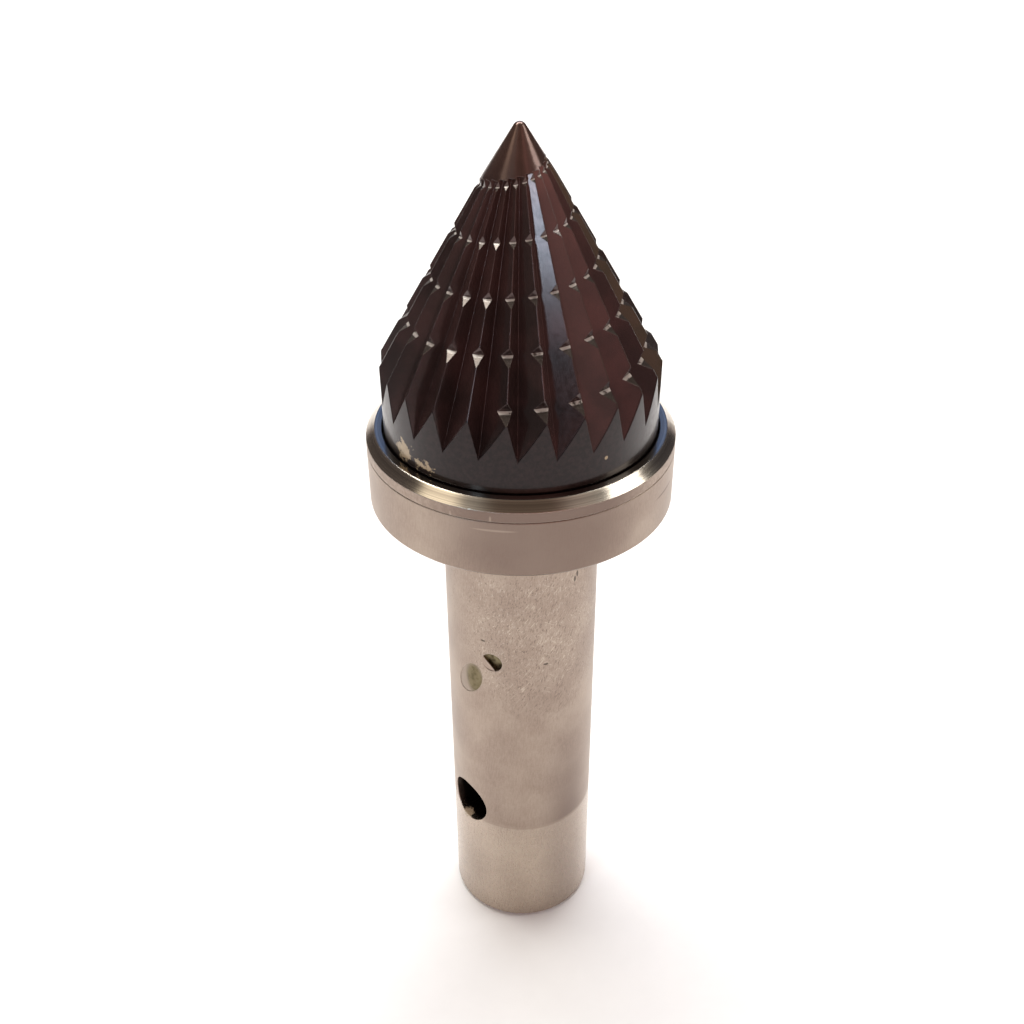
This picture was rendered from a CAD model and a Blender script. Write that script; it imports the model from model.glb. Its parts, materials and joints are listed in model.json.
"""Looks of the live center: materials, light, floor and camera around the CAD frame."""

import json
import math

import bmesh
import bpy
from mathutils import Matrix, Vector


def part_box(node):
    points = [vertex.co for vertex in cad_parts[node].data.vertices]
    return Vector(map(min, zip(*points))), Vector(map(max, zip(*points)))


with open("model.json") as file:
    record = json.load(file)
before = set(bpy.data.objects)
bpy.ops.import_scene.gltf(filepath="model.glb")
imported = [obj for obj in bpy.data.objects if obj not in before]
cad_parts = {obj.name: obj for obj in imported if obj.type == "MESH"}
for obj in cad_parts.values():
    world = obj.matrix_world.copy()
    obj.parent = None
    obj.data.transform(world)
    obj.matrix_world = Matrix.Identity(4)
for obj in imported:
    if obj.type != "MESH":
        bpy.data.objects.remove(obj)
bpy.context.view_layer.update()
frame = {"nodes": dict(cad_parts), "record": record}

MM = 0.001

# Radii and heights on the object, in millimetres
SHANK_R = 6.35
SHANK_TOP = 45.0
HEAD_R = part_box("housing")[1][0] / MM
SKIRT_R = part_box("cone_point")[1][0] / MM
APEX_Z = 75.4
CONE_SLOPE = math.tan(math.radians(30))

# The faint line around the shank. Below it a holder has kept the steel brighter.
WITNESS_Z = 12.3

# The chip groove: height at the front, pitch, depth at the spin axis, how much deeper
# it gets with each millimetre of radius, and how steeply its ledge rises inwards
GROOVE_Z = 60.5
GROOVE_PITCH = 3.45
GROOVE_DEPTH = 0.08
GROOVE_DEPTH_GAIN = 0.09
LEDGE_RISE = math.tan(math.radians(33))


class Graph:
    """A material's node tree, with short ways to add to it."""

    def __init__(self, name):
        self.material = bpy.data.materials.new(name)
        self.material.use_nodes = True
        self.tree = self.material.node_tree
        self.tree.nodes.clear()
        self.shader = self.tree.nodes.new("ShaderNodeBsdfPrincipled")
        out = self.tree.nodes.new("ShaderNodeOutputMaterial")
        self.tree.links.new(self.shader.outputs[0], out.inputs[0])
        coords = self.tree.nodes.new("ShaderNodeTexCoord")
        self.mm = self.vector("MULTIPLY", coords.outputs["Object"], (1 / MM,) * 3)
        split = self.tree.nodes.new("ShaderNodeSeparateXYZ")
        self.put(split.inputs[0], self.mm)
        self.x, self.y, self.z = split.outputs
        normal = self.tree.nodes.new("ShaderNodeSeparateXYZ")
        self.put(normal.inputs[0], coords.outputs["Normal"])
        self.normal_z = normal.outputs[2]
        self.rounded = None

    def put(self, socket, value):
        """Links a socket to another node's output, or sets it to a plain value."""
        if isinstance(value, bpy.types.NodeSocket):
            self.tree.links.new(value, socket)
        else:
            socket.default_value = value

    def vector(self, operation, a, b=None, result="Vector"):
        """A vector operation. Its result is a vector, or a number if asked for as Value."""
        node = self.tree.nodes.new("ShaderNodeVectorMath")
        node.operation = operation
        self.put(node.inputs[0], a)
        if b is not None:
            self.put(node.inputs[1], b)
        return node.outputs[result]

    def math(self, operation, a, b=0.0, c=0.0, clamp=False):
        node = self.tree.nodes.new("ShaderNodeMath")
        node.operation = operation
        node.use_clamp = clamp
        for socket, value in zip(node.inputs, (a, b, c)):
            self.put(socket, value)
        return node.outputs[0]

    def plus(self, a, b):
        return self.math("ADD", a, b)

    def minus(self, a, b):
        return self.math("SUBTRACT", a, b)

    def times(self, a, b):
        return self.math("MULTIPLY", a, b)

    def larger(self, a, b):
        return self.math("MAXIMUM", a, b)

    def radius(self):
        """Distance from the spin axis, in millimetres."""
        squares = self.plus(self.times(self.x, self.x), self.times(self.y, self.y))
        return self.math("SQRT", squares)

    def stretched(self, scale, turn=(0, 0, 0)):
        """The object's millimetres, turned and then scaled along each axis."""
        node = self.tree.nodes.new("ShaderNodeMapping")
        node.vector_type = "TEXTURE"
        self.put(node.inputs["Vector"], self.mm)
        node.inputs["Rotation"].default_value = [math.radians(a) for a in turn]
        node.inputs["Scale"].default_value = scale
        return node.outputs[0]

    def noise(self, vector, scale, detail=4.0, rough=0.5):
        node = self.tree.nodes.new("ShaderNodeTexNoise")
        self.put(node.inputs["Vector"], vector)
        node.inputs["Scale"].default_value = scale
        node.inputs["Detail"].default_value = detail
        node.inputs["Roughness"].default_value = rough
        return node.outputs["Fac"]

    def scratches(self, turn, scale, low, high):
        """Thin scattered lines: the top of a noise stretched along one direction."""
        lines = self.noise(self.stretched(scale, turn), 1.0, 3.0, 0.6)
        return self.ramp(lines, low, high)

    def ramp(self, value, low, high, to_low=0.0, to_high=1.0):
        """Smoothly maps low..high to to_low..to_high."""
        node = self.tree.nodes.new("ShaderNodeMapRange")
        node.interpolation_type = "SMOOTHSTEP"
        for socket, number in zip(node.inputs, (value, low, high, to_low, to_high)):
            self.put(socket, number)
        return node.outputs[0]

    def mix(self, factor, a, b):
        node = self.tree.nodes.new("ShaderNodeMix")
        node.data_type = "RGBA"
        self.put(node.inputs[0], factor)
        self.put(node.inputs[6], a)
        self.put(node.inputs[7], b)
        return node.outputs[2]

    def tinted(self, color, mask, strength, tint):
        """A colour with a tint laid over it where a mask is 1, as far as the strength says."""
        return self.mix(self.times(mask, strength), color, tint)

    def combine(self, x, y, z):
        node = self.tree.nodes.new("ShaderNodeCombineXYZ")
        for socket, value in zip(node.inputs, (x, y, z)):
            self.put(socket, value)
        return node.outputs[0]

    def near(self, place, size):
        """0 far from a place given in millimetres, 1 at it. size is a radius along each axis."""
        scaled = self.vector("DIVIDE", self.vector("SUBTRACT", self.mm, place), size)
        distance = self.vector("LENGTH", scaled, result="Value")
        return self.math("SUBTRACT", 1.0, distance, clamp=True)

    def patch(self, place, size, low, high, strength=1.0):
        """A soft spot: nothing where near() is below low, the full strength above high."""
        return self.ramp(self.near(place, size), low, high, 0.0, strength)

    def ragged(self, shape, noise, amount):
        """A soft shape whose rim a noise breaks up."""
        return self.plus(shape, self.times(self.minus(noise, 0.5), amount))

    def edges(self, radius, low, high):
        """1 along sharp edges, fading out at the radius given in millimetres.

        The bump that is added later starts from these rounded edges.
        """
        bevel = self.tree.nodes.new("ShaderNodeBevel")
        bevel.samples = 6
        bevel.inputs["Radius"].default_value = radius * MM
        self.rounded = bevel.outputs[0]
        geometry = self.tree.nodes.new("ShaderNodeNewGeometry")
        likeness = self.vector("DOT_PRODUCT", self.rounded, geometry.outputs["True Normal"],
                               result="Value")
        return self.ramp(likeness, 1 - low, 1 - high)

    def bump(self, height, strength, distance):
        node = self.tree.nodes.new("ShaderNodeBump")
        node.inputs["Strength"].default_value = strength
        node.inputs["Distance"].default_value = distance * MM
        self.put(node.inputs["Height"], height)
        if self.rounded:
            self.put(node.inputs["Normal"], self.rounded)
        self.put(self.shader.inputs["Normal"], node.outputs[0])

    def turned_tangent(self, amount):
        """Highlights stretched as on a face cut on a lathe about Z."""
        tangent = self.tree.nodes.new("ShaderNodeTangent")
        tangent.direction_type = "RADIAL"
        tangent.axis = "Z"
        self.shader.inputs["Anisotropic"].default_value = amount
        self.put(self.shader.inputs["Tangent"], tangent.outputs[0])

    def finish(self, color, metallic, roughness):
        self.put(self.shader.inputs["Base Color"], color)
        self.put(self.shader.inputs["Metallic"], metallic)
        self.put(self.shader.inputs["Roughness"], roughness)
        return self.material


def on_surface(angle, radius, z):
    """A point in millimetres from its angle off -Y, its radius and its height."""
    a = math.radians(angle)
    return (radius * math.sin(a), -radius * math.cos(a), z)


# ---- Steel of the housing and its cover ring ----

STEEL = (0.39, 0.310, 0.256, 1)
STEEL_DARK = (0.30, 0.233, 0.190, 1)
STEEL_LIGHT = (0.60, 0.51, 0.42, 1)
STEEL_STAINED = (0.19, 0.138, 0.115, 1)
STEEL_BRIGHT = (0.74, 0.66, 0.57, 1)
PIT_BROWN = (0.11, 0.08, 0.065, 1)
NICK_BROWN = (0.06, 0.045, 0.035, 1)
BORE_BLACK = (0.03, 0.022, 0.02, 1)
BURR_BROWN = (0.44, 0.34, 0.23, 1)
RIM_GREY = (0.42, 0.37, 0.31, 1)
RIM_BRIGHT = (0.70, 0.63, 0.53, 1)
RIM_EDGE = (0.85, 0.8, 0.72, 1)
SIDE_ROUGHNESS = (0.38, 0.38, 0.38, 1)
TURNED_ROUGHNESS = (0.10, 0.10, 0.10, 1)

# Places on the shank
RUBBED = on_surface(22, SHANK_R, 34)
FLECKED = on_surface(-4, SHANK_R, 39)
STAIN = on_surface(42, SHANK_R, 7)
SMEAR = on_surface(-48, SHANK_R, 6.0)
NICK_SIZE = (0.34, 0.34, 0.15)
SCRATCH_SIZE = (0.16, 0.16, 0.46)
SHANK_MARKS = [
    (on_surface(18.7, SHANK_R, 31.8), NICK_SIZE),
    (on_surface(-29.5, SHANK_R, 33.9), NICK_SIZE),
    (on_surface(42.6, SHANK_R, 39.6), SCRATCH_SIZE),
    (on_surface(45.0, SHANK_R, 40.0), SCRATCH_SIZE),
]

# The torn burr, just inside the lower edge of the cross hole
BURR = on_surface(-54, 6.1, 11.5)

# Places on the head and on its cover ring
HEAD_STAIN = on_surface(8, HEAD_R, 48.5)
HEAD_NICKS = [on_surface(-24.6, HEAD_R, 50.1), on_surface(-10.3, HEAD_R, 50.2)]
HEAD_SCRATCHES = [
    (on_surface(65, HEAD_R, 48.3), STEEL_STAINED, 1.0),
    (on_surface(-9, HEAD_R, 49.3), STEEL_LIGHT, 0.22),
]


def ground_steel():
    """Worn ground steel: fine turning lines, speckle, scratches and faint stains."""
    g = Graph("ground_steel")
    cloud = g.noise(g.mm, 0.22, 3.0, 0.5)
    streak = g.noise(g.stretched((0.10, 0.10, 0.75), (3, 5, 0)), 1.0, 5.0, 0.65)
    speckle = g.noise(g.mm, 6.0, 4.0, 0.6)
    lathe = g.noise(g.stretched((9, 9, 0.045)), 1.0, 2.0, 0.5)
    tone = g.plus(g.times(speckle, 0.35), g.times(streak, 0.65))
    color = g.mix(g.ramp(tone, 0.34, 0.66), STEEL_DARK, STEEL)
    color = g.mix(g.ramp(cloud, 0.35, 0.75, 0.0, 0.30), color, STEEL_LIGHT)

    # Dark grooves and light scratches where the shank is rubbed
    grooves = g.larger(g.scratches((0, 34, 35), (0.12, 0.12, 0.8), 0.57, 0.67),
                       g.scratches((2, 8, 40), (0.13, 0.13, 0.55), 0.58, 0.68))
    grooves = g.times(grooves, g.patch(RUBBED, (10, 10, 12), 0.1, 0.5))
    color = g.tinted(color, grooves, 0.65, STEEL_STAINED)
    marks = g.larger(g.scratches((0, 34, 10), (0.12, 0.12, 1.1), 0.58, 0.68),
                     g.scratches((0, -58, 20), (0.10, 0.10, 1.4), 0.60, 0.70))
    rubbed = g.patch(RUBBED, (9, 9, 9), 0.0, 0.45)
    worn = g.times(marks, g.times(rubbed, g.ramp(cloud, 0.36, 0.55)))
    color = g.tinted(color, worn, 0.75, STEEL_LIGHT)

    # Dark pits and light flecks under the head
    pits = g.scratches((-3, 12, 60), (0.12, 0.12, 0.30), 0.60, 0.68)
    pits = g.times(pits, g.patch(FLECKED, (9, 9, 12), 0.0, 0.4))
    color = g.tinted(color, pits, 0.55, PIT_BROWN)
    flecks = g.scratches((2, 7, 0), (0.12, 0.12, 0.45), 0.54, 0.66)
    patchy = g.ramp(g.noise(g.mm, 0.6, 2.0, 0.5), 0.44, 0.58)
    flecks = g.times(g.times(flecks, patchy), g.patch(FLECKED, (6, 6, 10), 0.0, 0.45))
    color = g.tinted(color, flecks, 0.26, STEEL_BRIGHT)

    # Single marks, and stains with soft borders
    for place, size in SHANK_MARKS:
        color = g.tinted(color, g.patch(place, size, 0.25, 0.5), 0.8, NICK_BROWN)
    shade = g.larger(g.near(STAIN, (3.6, 3.6, 22)), g.times(g.near(HEAD_STAIN, (10, 10, 8)), 1.4))
    color = g.mix(g.ramp(shade, 0.0, 0.9, 0.0, 0.80), color, STEEL_STAINED)
    color = g.mix(g.patch(SMEAR, (3.4, 3.4, 6), 0.0, 0.9, 0.50), color, STEEL_STAINED)
    for place, tint, strength in HEAD_SCRATCHES:
        color = g.tinted(color, g.patch(place, (2.2, 2.2, 0.12), 0.1, 0.5), strength, tint)

    # The brighter end of the shank, up to its faint line
    seated = g.ramp(g.z, WITNESS_Z - 0.3, WITNESS_Z + 0.3, 0.38, 0.0)
    color = g.mix(seated, color, STEEL_LIGHT)
    off_line = g.math("ABSOLUTE", g.minus(g.z, WITNESS_Z))
    color = g.mix(g.ramp(off_line, 0.05, 0.14, 0.35, 0.0), color, STEEL_DARK)
    color = g.tinted(color, g.edges(0.12, 0.02, 0.15), 0.6, STEEL_LIGHT)

    # Dark inside the shank's holes, apart from the burr
    inside = g.ramp(g.radius(), SHANK_R - 0.8, SHANK_R - 0.06, 0.94, 0.0)
    in_shank = g.ramp(g.z, SHANK_TOP - 0.5, SHANK_TOP, 1.0, 0.0)
    color = g.tinted(color, inside, in_shank, BORE_BLACK)
    torn = g.ramp(g.ragged(g.near(BURR, (0.8, 0.8, 0.8)), speckle, 1.2), 0.30, 0.5)
    color = g.tinted(color, torn, 0.85, BURR_BROWN)

    dents = g.minus(flecks, g.plus(worn, grooves))
    g.bump(g.plus(g.times(lathe, 0.3), g.plus(g.times(tone, 0.6), dents)), 0.35, 0.02)
    g.turned_tangent(0.35)
    metallic = g.math("MULTIPLY_ADD", torn, -0.9, 1.0)
    roughness = g.plus(g.ramp(tone, 0.3, 0.7, 0.36, 0.46), g.times(seated, -0.35))
    return g.finish(color, metallic, roughness)


def rim_steel():
    """The cover ring: ground outside, bright turned chamfer and face."""
    g = Graph("rim_steel")
    radius = g.radius()
    turned = g.ramp(radius, HEAD_R - 0.03, HEAD_R - 0.01, 1.0, 0.0)
    speckle = g.noise(g.mm, 3.2, 6.0, 0.65)
    rings = g.noise(g.combine(g.times(radius, 9.0), g.z, 0.0), 1.0, 3.0, 0.6)
    side = g.mix(g.ramp(speckle, 0.36, 0.64), STEEL_DARK, STEEL)
    shade = g.times(g.near(HEAD_STAIN, (10, 10, 12)), 1.5)
    side = g.mix(g.ramp(shade, 0.0, 0.8, 0.0, 0.95), side, STEEL_STAINED)
    for nick in HEAD_NICKS:
        side = g.tinted(side, g.patch(nick, (0.13, 0.13, 0.5), 0.2, 0.6), 0.25, STEEL_LIGHT)
    bright = g.mix(g.ramp(rings, 0.35, 0.65), RIM_GREY, RIM_BRIGHT)
    color = g.mix(turned, side, bright)
    color = g.tinted(color, g.edges(0.10, 0.02, 0.12), 0.7, RIM_EDGE)
    sweep = g.noise(g.mm, 0.35, 2.0, 0.5)
    roughness = g.plus(g.mix(turned, SIDE_ROUGHNESS, TURNED_ROUGHNESS), g.times(sweep, 0.06))
    g.bump(g.mix(turned, speckle, rings), 0.25, 0.008)
    g.turned_tangent(0.6)
    return g.finish(color, 1.0, roughness)


# ---- Coated steel of the point ----

COATING_DARK = (0.028, 0.0165, 0.0155, 1)
COATING = (0.058, 0.029, 0.027, 1)
COATING_UPPER = (0.112, 0.060, 0.052, 1)
TIP_BROWN = (0.112, 0.060, 0.045, 1)
SKIRT_BLACK = (0.009, 0.004, 0.004, 1)
SKIRT_DARK = (0.019, 0.009, 0.009, 1)
LEDGE_BROWN = (0.075, 0.058, 0.048, 1)
CHIPPED_GREY = (0.20, 0.17, 0.155, 1)
CORNER_BARE = (0.50, 0.45, 0.40, 1)
WORN_DARK = (0.20, 0.14, 0.08, 1)
WORN_LIGHT = (0.52, 0.40, 0.24, 1)

# Heights between which the coating gets lighter, the plain tip begins and the ledges end
LIGHTER_Z = (56.0, 70.0)
TIP_Z = (69.5, 74.0)
LEDGES_END_Z = (72.5, 73.0)

# Places on the skirt where the coating is worn through
BLOTCH = on_surface(-53, SKIRT_R, 52.6)
FLECKS = on_surface(-41, SKIRT_R, 52.3)
SPECK = on_surface(35, SKIRT_R, 53.4)


def ledge_corner(g):
    """1 in the inner corner of the chip groove's ledge, from the height above its helix."""
    angle = g.math("ARCTAN2", g.x, g.times(g.y, -1.0))
    turns = g.minus(g.math("DIVIDE", g.minus(g.z, GROOVE_Z), GROOVE_PITCH),
                    g.math("DIVIDE", angle, 2 * math.pi))
    above = g.times(g.math("FRACT", turns), GROOVE_PITCH)
    crest_r = g.times(g.minus(APEX_Z, g.minus(g.z, above)), CONE_SLOPE)
    depth = g.math("MULTIPLY_ADD", crest_r, GROOVE_DEPTH_GAIN, GROOVE_DEPTH)
    share = g.math("DIVIDE", above, g.times(depth, LEDGE_RISE))
    return g.times(g.ramp(share, 0.72, 0.84), g.ramp(share, 1.04, 1.12, 1.0, 0.0))


def worn_skirt(g, skirt):
    """1 where the coating is worn off the skirt: a ragged blotch, flecks beside it and a speck."""
    spots = g.noise(g.mm, 1.5, 5.0, 0.7)
    shape = g.larger(g.near(BLOTCH, (1.9, 1.9, 1.5)), g.times(g.near(FLECKS, (2.6, 2.6, 0.9)), 0.72))
    blotch = g.times(g.ramp(g.ragged(shape, spots, 2.2), 0.46, 0.60), skirt)
    blotch = g.times(blotch, g.patch(BLOTCH, (4, 4, 2.2), 0.0, 0.2))
    return g.larger(blotch, g.patch(SPECK, (0.22, 0.22, 0.22), 0.2, 0.5))


def coated_steel():
    """Dark brown coated tool steel, with bare worn edges and a dull ground skirt."""
    g = Graph("coated_steel")
    fine = g.noise(g.mm, 2.6, 6.0, 0.65)
    cloud = g.noise(g.mm, 0.35, 3.0, 0.5)
    coating = g.mix(g.ramp(cloud, 0.35, 0.68), COATING_DARK, COATING)
    coating = g.mix(g.ramp(g.z, *LIGHTER_Z, 0.0, 0.34), coating, COATING_UPPER)
    coating = g.mix(g.ramp(g.z, *TIP_Z), coating, TIP_BROWN)
    skirt = g.ramp(g.radius(), SKIRT_R - 0.10, SKIRT_R - 0.02)
    dull = g.mix(g.ramp(fine, 0.36, 0.66), SKIRT_BLACK, SKIRT_DARK)
    color = g.mix(skirt, coating, dull)

    # The groove's ledges are the faces that look up, and their inner corners are bare
    below_tip = g.ramp(g.z, *LEDGES_END_Z, 1.0, 0.0)
    ledge = g.times(g.ramp(g.normal_z, 0.72, 0.80), below_tip)
    color = g.mix(ledge, color, LEDGE_BROWN)
    chipped = g.times(g.edges(0.07, 0.03, 0.25), g.ramp(fine, 0.42, 0.58))
    color = g.tinted(color, chipped, 0.32, CHIPPED_GREY)
    corner = g.times(g.times(ledge, ledge_corner(g)), g.ramp(fine, 0.30, 0.50))
    color = g.tinted(color, corner, 0.9, CORNER_BARE)
    worn = worn_skirt(g, skirt)
    color = g.mix(worn, color, g.mix(fine, WORN_DARK, WORN_LIGHT))

    bare = g.larger(worn, corner)
    metallic = g.minus(g.math("MULTIPLY_ADD", skirt, 0.2, 0.65), g.times(bare, 0.6))
    rougher = g.times(g.larger(skirt, bare), 0.18)
    g.bump(g.plus(fine, g.times(worn, 3.0)), 0.25, 0.02)
    g.shader.inputs["Coat Weight"].default_value = 0.42
    g.shader.inputs["Coat Roughness"].default_value = 0.12
    return g.finish(color, metallic, g.plus(g.ramp(fine, 0.3, 0.7, 0.15, 0.24), rougher))


# ---- Other materials ----

PIN_DARK = (0.085, 0.068, 0.036, 1)
PIN_OILY = (0.26, 0.22, 0.13, 1)
PLUG_DARK = (0.115, 0.092, 0.045, 1)
PLUG_OLIVE = (0.22, 0.18, 0.105, 1)
PLUG_RIM = (0.35, 0.285, 0.235, 1)
BEARING_GREYS = ((0.5, 0.5, 0.5, 1), (0.66, 0.66, 0.65, 1))
BRASS_YELLOWS = ((0.55, 0.40, 0.16, 1), (0.75, 0.58, 0.28, 1))
RUBBER_BLACKS = ((0.012, 0.012, 0.012, 1), (0.03, 0.03, 0.03, 1))

# The middle of the plug's olive part
PLUG_MIDDLE = on_surface(-38.5, SHANK_R, 29.3)


def pin_steel():
    """The retaining pin: an oily, dark sunk end, with a sliver dressed flush with the shank."""
    g = Graph("dark_steel")
    mottle = g.noise(g.mm, 1.8, 5.0, 0.6)
    color = g.mix(g.ramp(mottle, 0.36, 0.64), PIN_DARK, PIN_OILY)
    flush = g.ramp(g.radius(), SHANK_R - 0.16, SHANK_R - 0.10)
    color = g.mix(flush, color, STEEL)
    g.bump(mottle, 0.4, 0.02)
    return g.finish(color, 1.0, g.ramp(mottle, 0.3, 0.7, 0.36, 0.5))


def plug_brass():
    """The plug: olive in its middle, dressed to a greyer rim."""
    g = Graph("brass_plug")
    mottle = g.noise(g.mm, 1.6, 5.0, 0.6)
    olive = g.mix(g.ramp(mottle, 0.36, 0.64), PLUG_DARK, PLUG_OLIVE)
    color = g.mix(g.patch(PLUG_MIDDLE, (1.2, 1.2, 2.1), 0.0, 0.5), PLUG_RIM, olive)
    g.bump(mottle, 0.3, 0.01)
    return g.finish(color, 1.0, g.ramp(mottle, 0.3, 0.7, 0.38, 0.50))


def plain_metal(name, dark, light, roughness):
    """A dull or ground metal with fine mottling and brighter edges."""
    g = Graph(name)
    mottle = g.noise(g.mm, 2.5, 5.0, 0.6)
    color = g.mix(g.ramp(mottle, 0.36, 0.64), dark, light)
    bright = tuple(min(1.0, c * 1.5) for c in light[:3]) + (1,)
    color = g.tinted(color, g.edges(0.06, 0.03, 0.25), 0.6, bright)
    g.bump(mottle, 0.3, 0.01)
    return g.finish(color, 1.0, g.ramp(mottle, 0.3, 0.7, roughness, roughness + 0.12))


def rubber():
    """The dust seal's matte black rubber."""
    g = Graph("black_rubber")
    fine = g.noise(g.mm, 4.0, 4.0, 0.6)
    g.bump(fine, 0.3, 0.02)
    return g.finish(g.mix(fine, *RUBBER_BLACKS), 0.0, g.ramp(fine, 0.3, 0.7, 0.6, 0.75))


def paint_nodes():
    """Gives every CAD node the material of its slot."""
    materials = {
        "ground_steel": ground_steel(),
        "rim_steel": rim_steel(),
        "coated_steel": coated_steel(),
        "bearing_steel": plain_metal("bearing_steel", *BEARING_GREYS, 0.2),
        "dark_steel": pin_steel(),
        "brass_cage": plain_metal("brass_cage", *BRASS_YELLOWS, 0.28),
        "brass_plug": plug_brass(),
        "black_rubber": rubber(),
    }
    slots = {part["node"]: part["material_slot"] for part in frame["record"]["subparts"]}
    for name, node in frame["nodes"].items():
        node.data.materials.clear()
        node.data.materials.append(materials[slots[name]])


# ---- Floor, light and camera ----

# Distance from the object to each side of the floor, in metres
FLOOR_REACH = 4.0
PAPER_GREYS = ((0.90, 0.90, 0.895, 1), (0.94, 0.94, 0.935, 1))

# Height of the point on the spin axis that the lamps face, in millimetres
LIT_Z = 60

# Parts of the room: azimuth, elevation, inner and outer radius in degrees, colour, strength
ROOM = [
    (180, 32, 18, 36, (0.30, 0.48, 1.00), 0.36),
    (-105, 6, 36, 52, (1.00, 0.84, 0.80), 0.10),
    (-36, 6, 9, 20, (1.00, 0.84, 0.80), 0.12),
    (34, 15, 26, 42, (1.00, 0.60, 0.57), 0.42),
    (128, 6, 20, 40, (1.00, 0.92, 1.00), 0.07),
    (90, 12, 8, 20, (1.00, 0.84, 0.55), 0.62),
    (8, 35, 12, 30, (1.00, 0.58, 0.54), 1.30),
    (4, 60, 14, 28, (1.00, 0.74, 0.60), 0.14),
    (115, 56, 20, 34, (1.00, 0.90, 0.80), 0.10),
    (20, 86, 12, 24, (1.00, 0.90, 0.85), 0.16),
    (-72, 46, 7, 15, (1.00, 0.90, 0.74), 1.60),
]
ROOM_BASE = (0.43, 0.40, 0.37, 1)

# The camera: place in millimetres, angles in degrees, lens and sensor in millimetres
CAMERA_PLACE = (0.235, -83.72, 99.84)
CAMERA_PITCH = 34.24
CAMERA_YAW = 0.66
CAMERA_ROLL = -0.47
CAMERA_LENS = 43.7555
CAMERA_SENSOR = 36
CAMERA_CLIP_START = 1


def floor():
    """A pale matte sheet under the object."""
    mesh = bpy.data.meshes.new("floor")
    form = bmesh.new()
    bmesh.ops.create_grid(form, x_segments=8, y_segments=8, size=FLOOR_REACH)
    form.to_mesh(mesh)
    form.free()
    sheet = bpy.data.objects.new("floor", mesh)
    bpy.context.scene.collection.objects.link(sheet)
    g = Graph("floor_paper")
    grain = g.noise(g.mm, 0.4, 4.0, 0.6)
    mesh.materials.append(g.finish(g.mix(grain, *PAPER_GREYS), 0.0, 0.8))


def direction(azimuth, elevation):
    """Unit vector towards a place in the room. Azimuth 0 is the front, 90 the right."""
    a, e = math.radians(azimuth), math.radians(elevation)
    return Vector((math.sin(a) * math.cos(e), -math.cos(a) * math.cos(e), math.sin(e)))


def room():
    """A world that depends on direction only: a dim room with lighter and darker parts."""
    world = bpy.data.worlds.new("room")
    bpy.context.scene.world = world
    world.use_nodes = True
    tree = world.node_tree
    coords = tree.nodes.new("ShaderNodeTexCoord")
    color = None
    for azimuth, elevation, inner, outer, tint, strength in ROOM:
        dot = tree.nodes.new("ShaderNodeVectorMath")
        dot.operation = "DOT_PRODUCT"
        tree.links.new(coords.outputs["Generated"], dot.inputs[0])
        dot.inputs[1].default_value = direction(azimuth, elevation)
        mask = tree.nodes.new("ShaderNodeMapRange")
        mask.interpolation_type = "SMOOTHSTEP"
        mask.inputs["From Min"].default_value = math.cos(math.radians(outer))
        mask.inputs["From Max"].default_value = math.cos(math.radians(inner))
        tree.links.new(dot.outputs["Value"], mask.inputs["Value"])
        mix = tree.nodes.new("ShaderNodeMix")
        mix.data_type = "RGBA"
        tree.links.new(mask.outputs[0], mix.inputs[0])
        if color is None:
            mix.inputs[6].default_value = ROOM_BASE
        else:
            tree.links.new(color, mix.inputs[6])
        mix.inputs[7].default_value = tuple(c * strength for c in tint) + (1,)
        color = mix.outputs[2]
    tree.links.new(color, tree.nodes["Background"].inputs["Color"])


def lamp(name, azimuth, elevation, distance, width, height, radiance, color):
    """A soft rectangular light that faces the cone. Distance, width and height are in metres."""
    light = bpy.data.lights.new(name, "AREA")
    light.shape = "RECTANGLE"
    light.size = width
    light.size_y = height
    light.energy = radiance * math.pi * width * height
    light.color = color
    lamp_object = bpy.data.objects.new(name, light)
    towards = direction(azimuth, elevation)
    lamp_object.location = Vector((0, 0, LIT_Z * MM)) + distance * towards
    lamp_object.rotation_euler = towards.to_track_quat("Z", "Y").to_euler()
    bpy.context.scene.collection.objects.link(lamp_object)


def lights():
    """Two high soft lights, one from the side, and the window that draws the blue stripe."""
    lamp("high_left", -112, 57, 0.60, 0.20, 0.20, 8.0, (1.0, 0.97, 0.90))
    lamp("back", 180, 64, 0.60, 0.60, 0.34, 7.6, (1.0, 0.99, 0.97))
    lamp("window", -36, 25.8, 0.50, 0.070, 0.093, 12.5, (0.58, 0.80, 1.0))
    lamp("side", 88, 37, 0.55, 0.20, 0.22, 3.6, (1.0, 0.99, 0.97))


def camera():
    """The photo's view: placed, then turned by its yaw, pitch and roll."""
    data = bpy.data.cameras.new("camera")
    data.sensor_width = CAMERA_SENSOR
    data.lens = CAMERA_LENS
    data.clip_start = CAMERA_CLIP_START * MM
    view = bpy.data.objects.new("camera", data)
    yaw, pitch, roll = (math.radians(a) for a in (CAMERA_YAW, CAMERA_PITCH, CAMERA_ROLL))
    level = Vector((-math.sin(yaw), math.cos(yaw), 0))
    across = Vector((math.cos(yaw), math.sin(yaw), 0))
    ahead = level * math.cos(pitch) - Vector((0, 0, math.sin(pitch)))
    above = level * math.sin(pitch) + Vector((0, 0, math.cos(pitch)))
    right = across * math.cos(roll) + above * math.sin(roll)
    up = above * math.cos(roll) - across * math.sin(roll)
    turn = Matrix((right, up, -ahead)).transposed()
    view.matrix_world = Matrix.Translation(Vector(CAMERA_PLACE) * MM) @ turn.to_4x4()
    bpy.context.scene.collection.objects.link(view)
    bpy.context.scene.camera = view


paint_nodes()
floor()
room()
lights()
camera()
bpy.context.scene.view_settings.view_transform = "Standard"
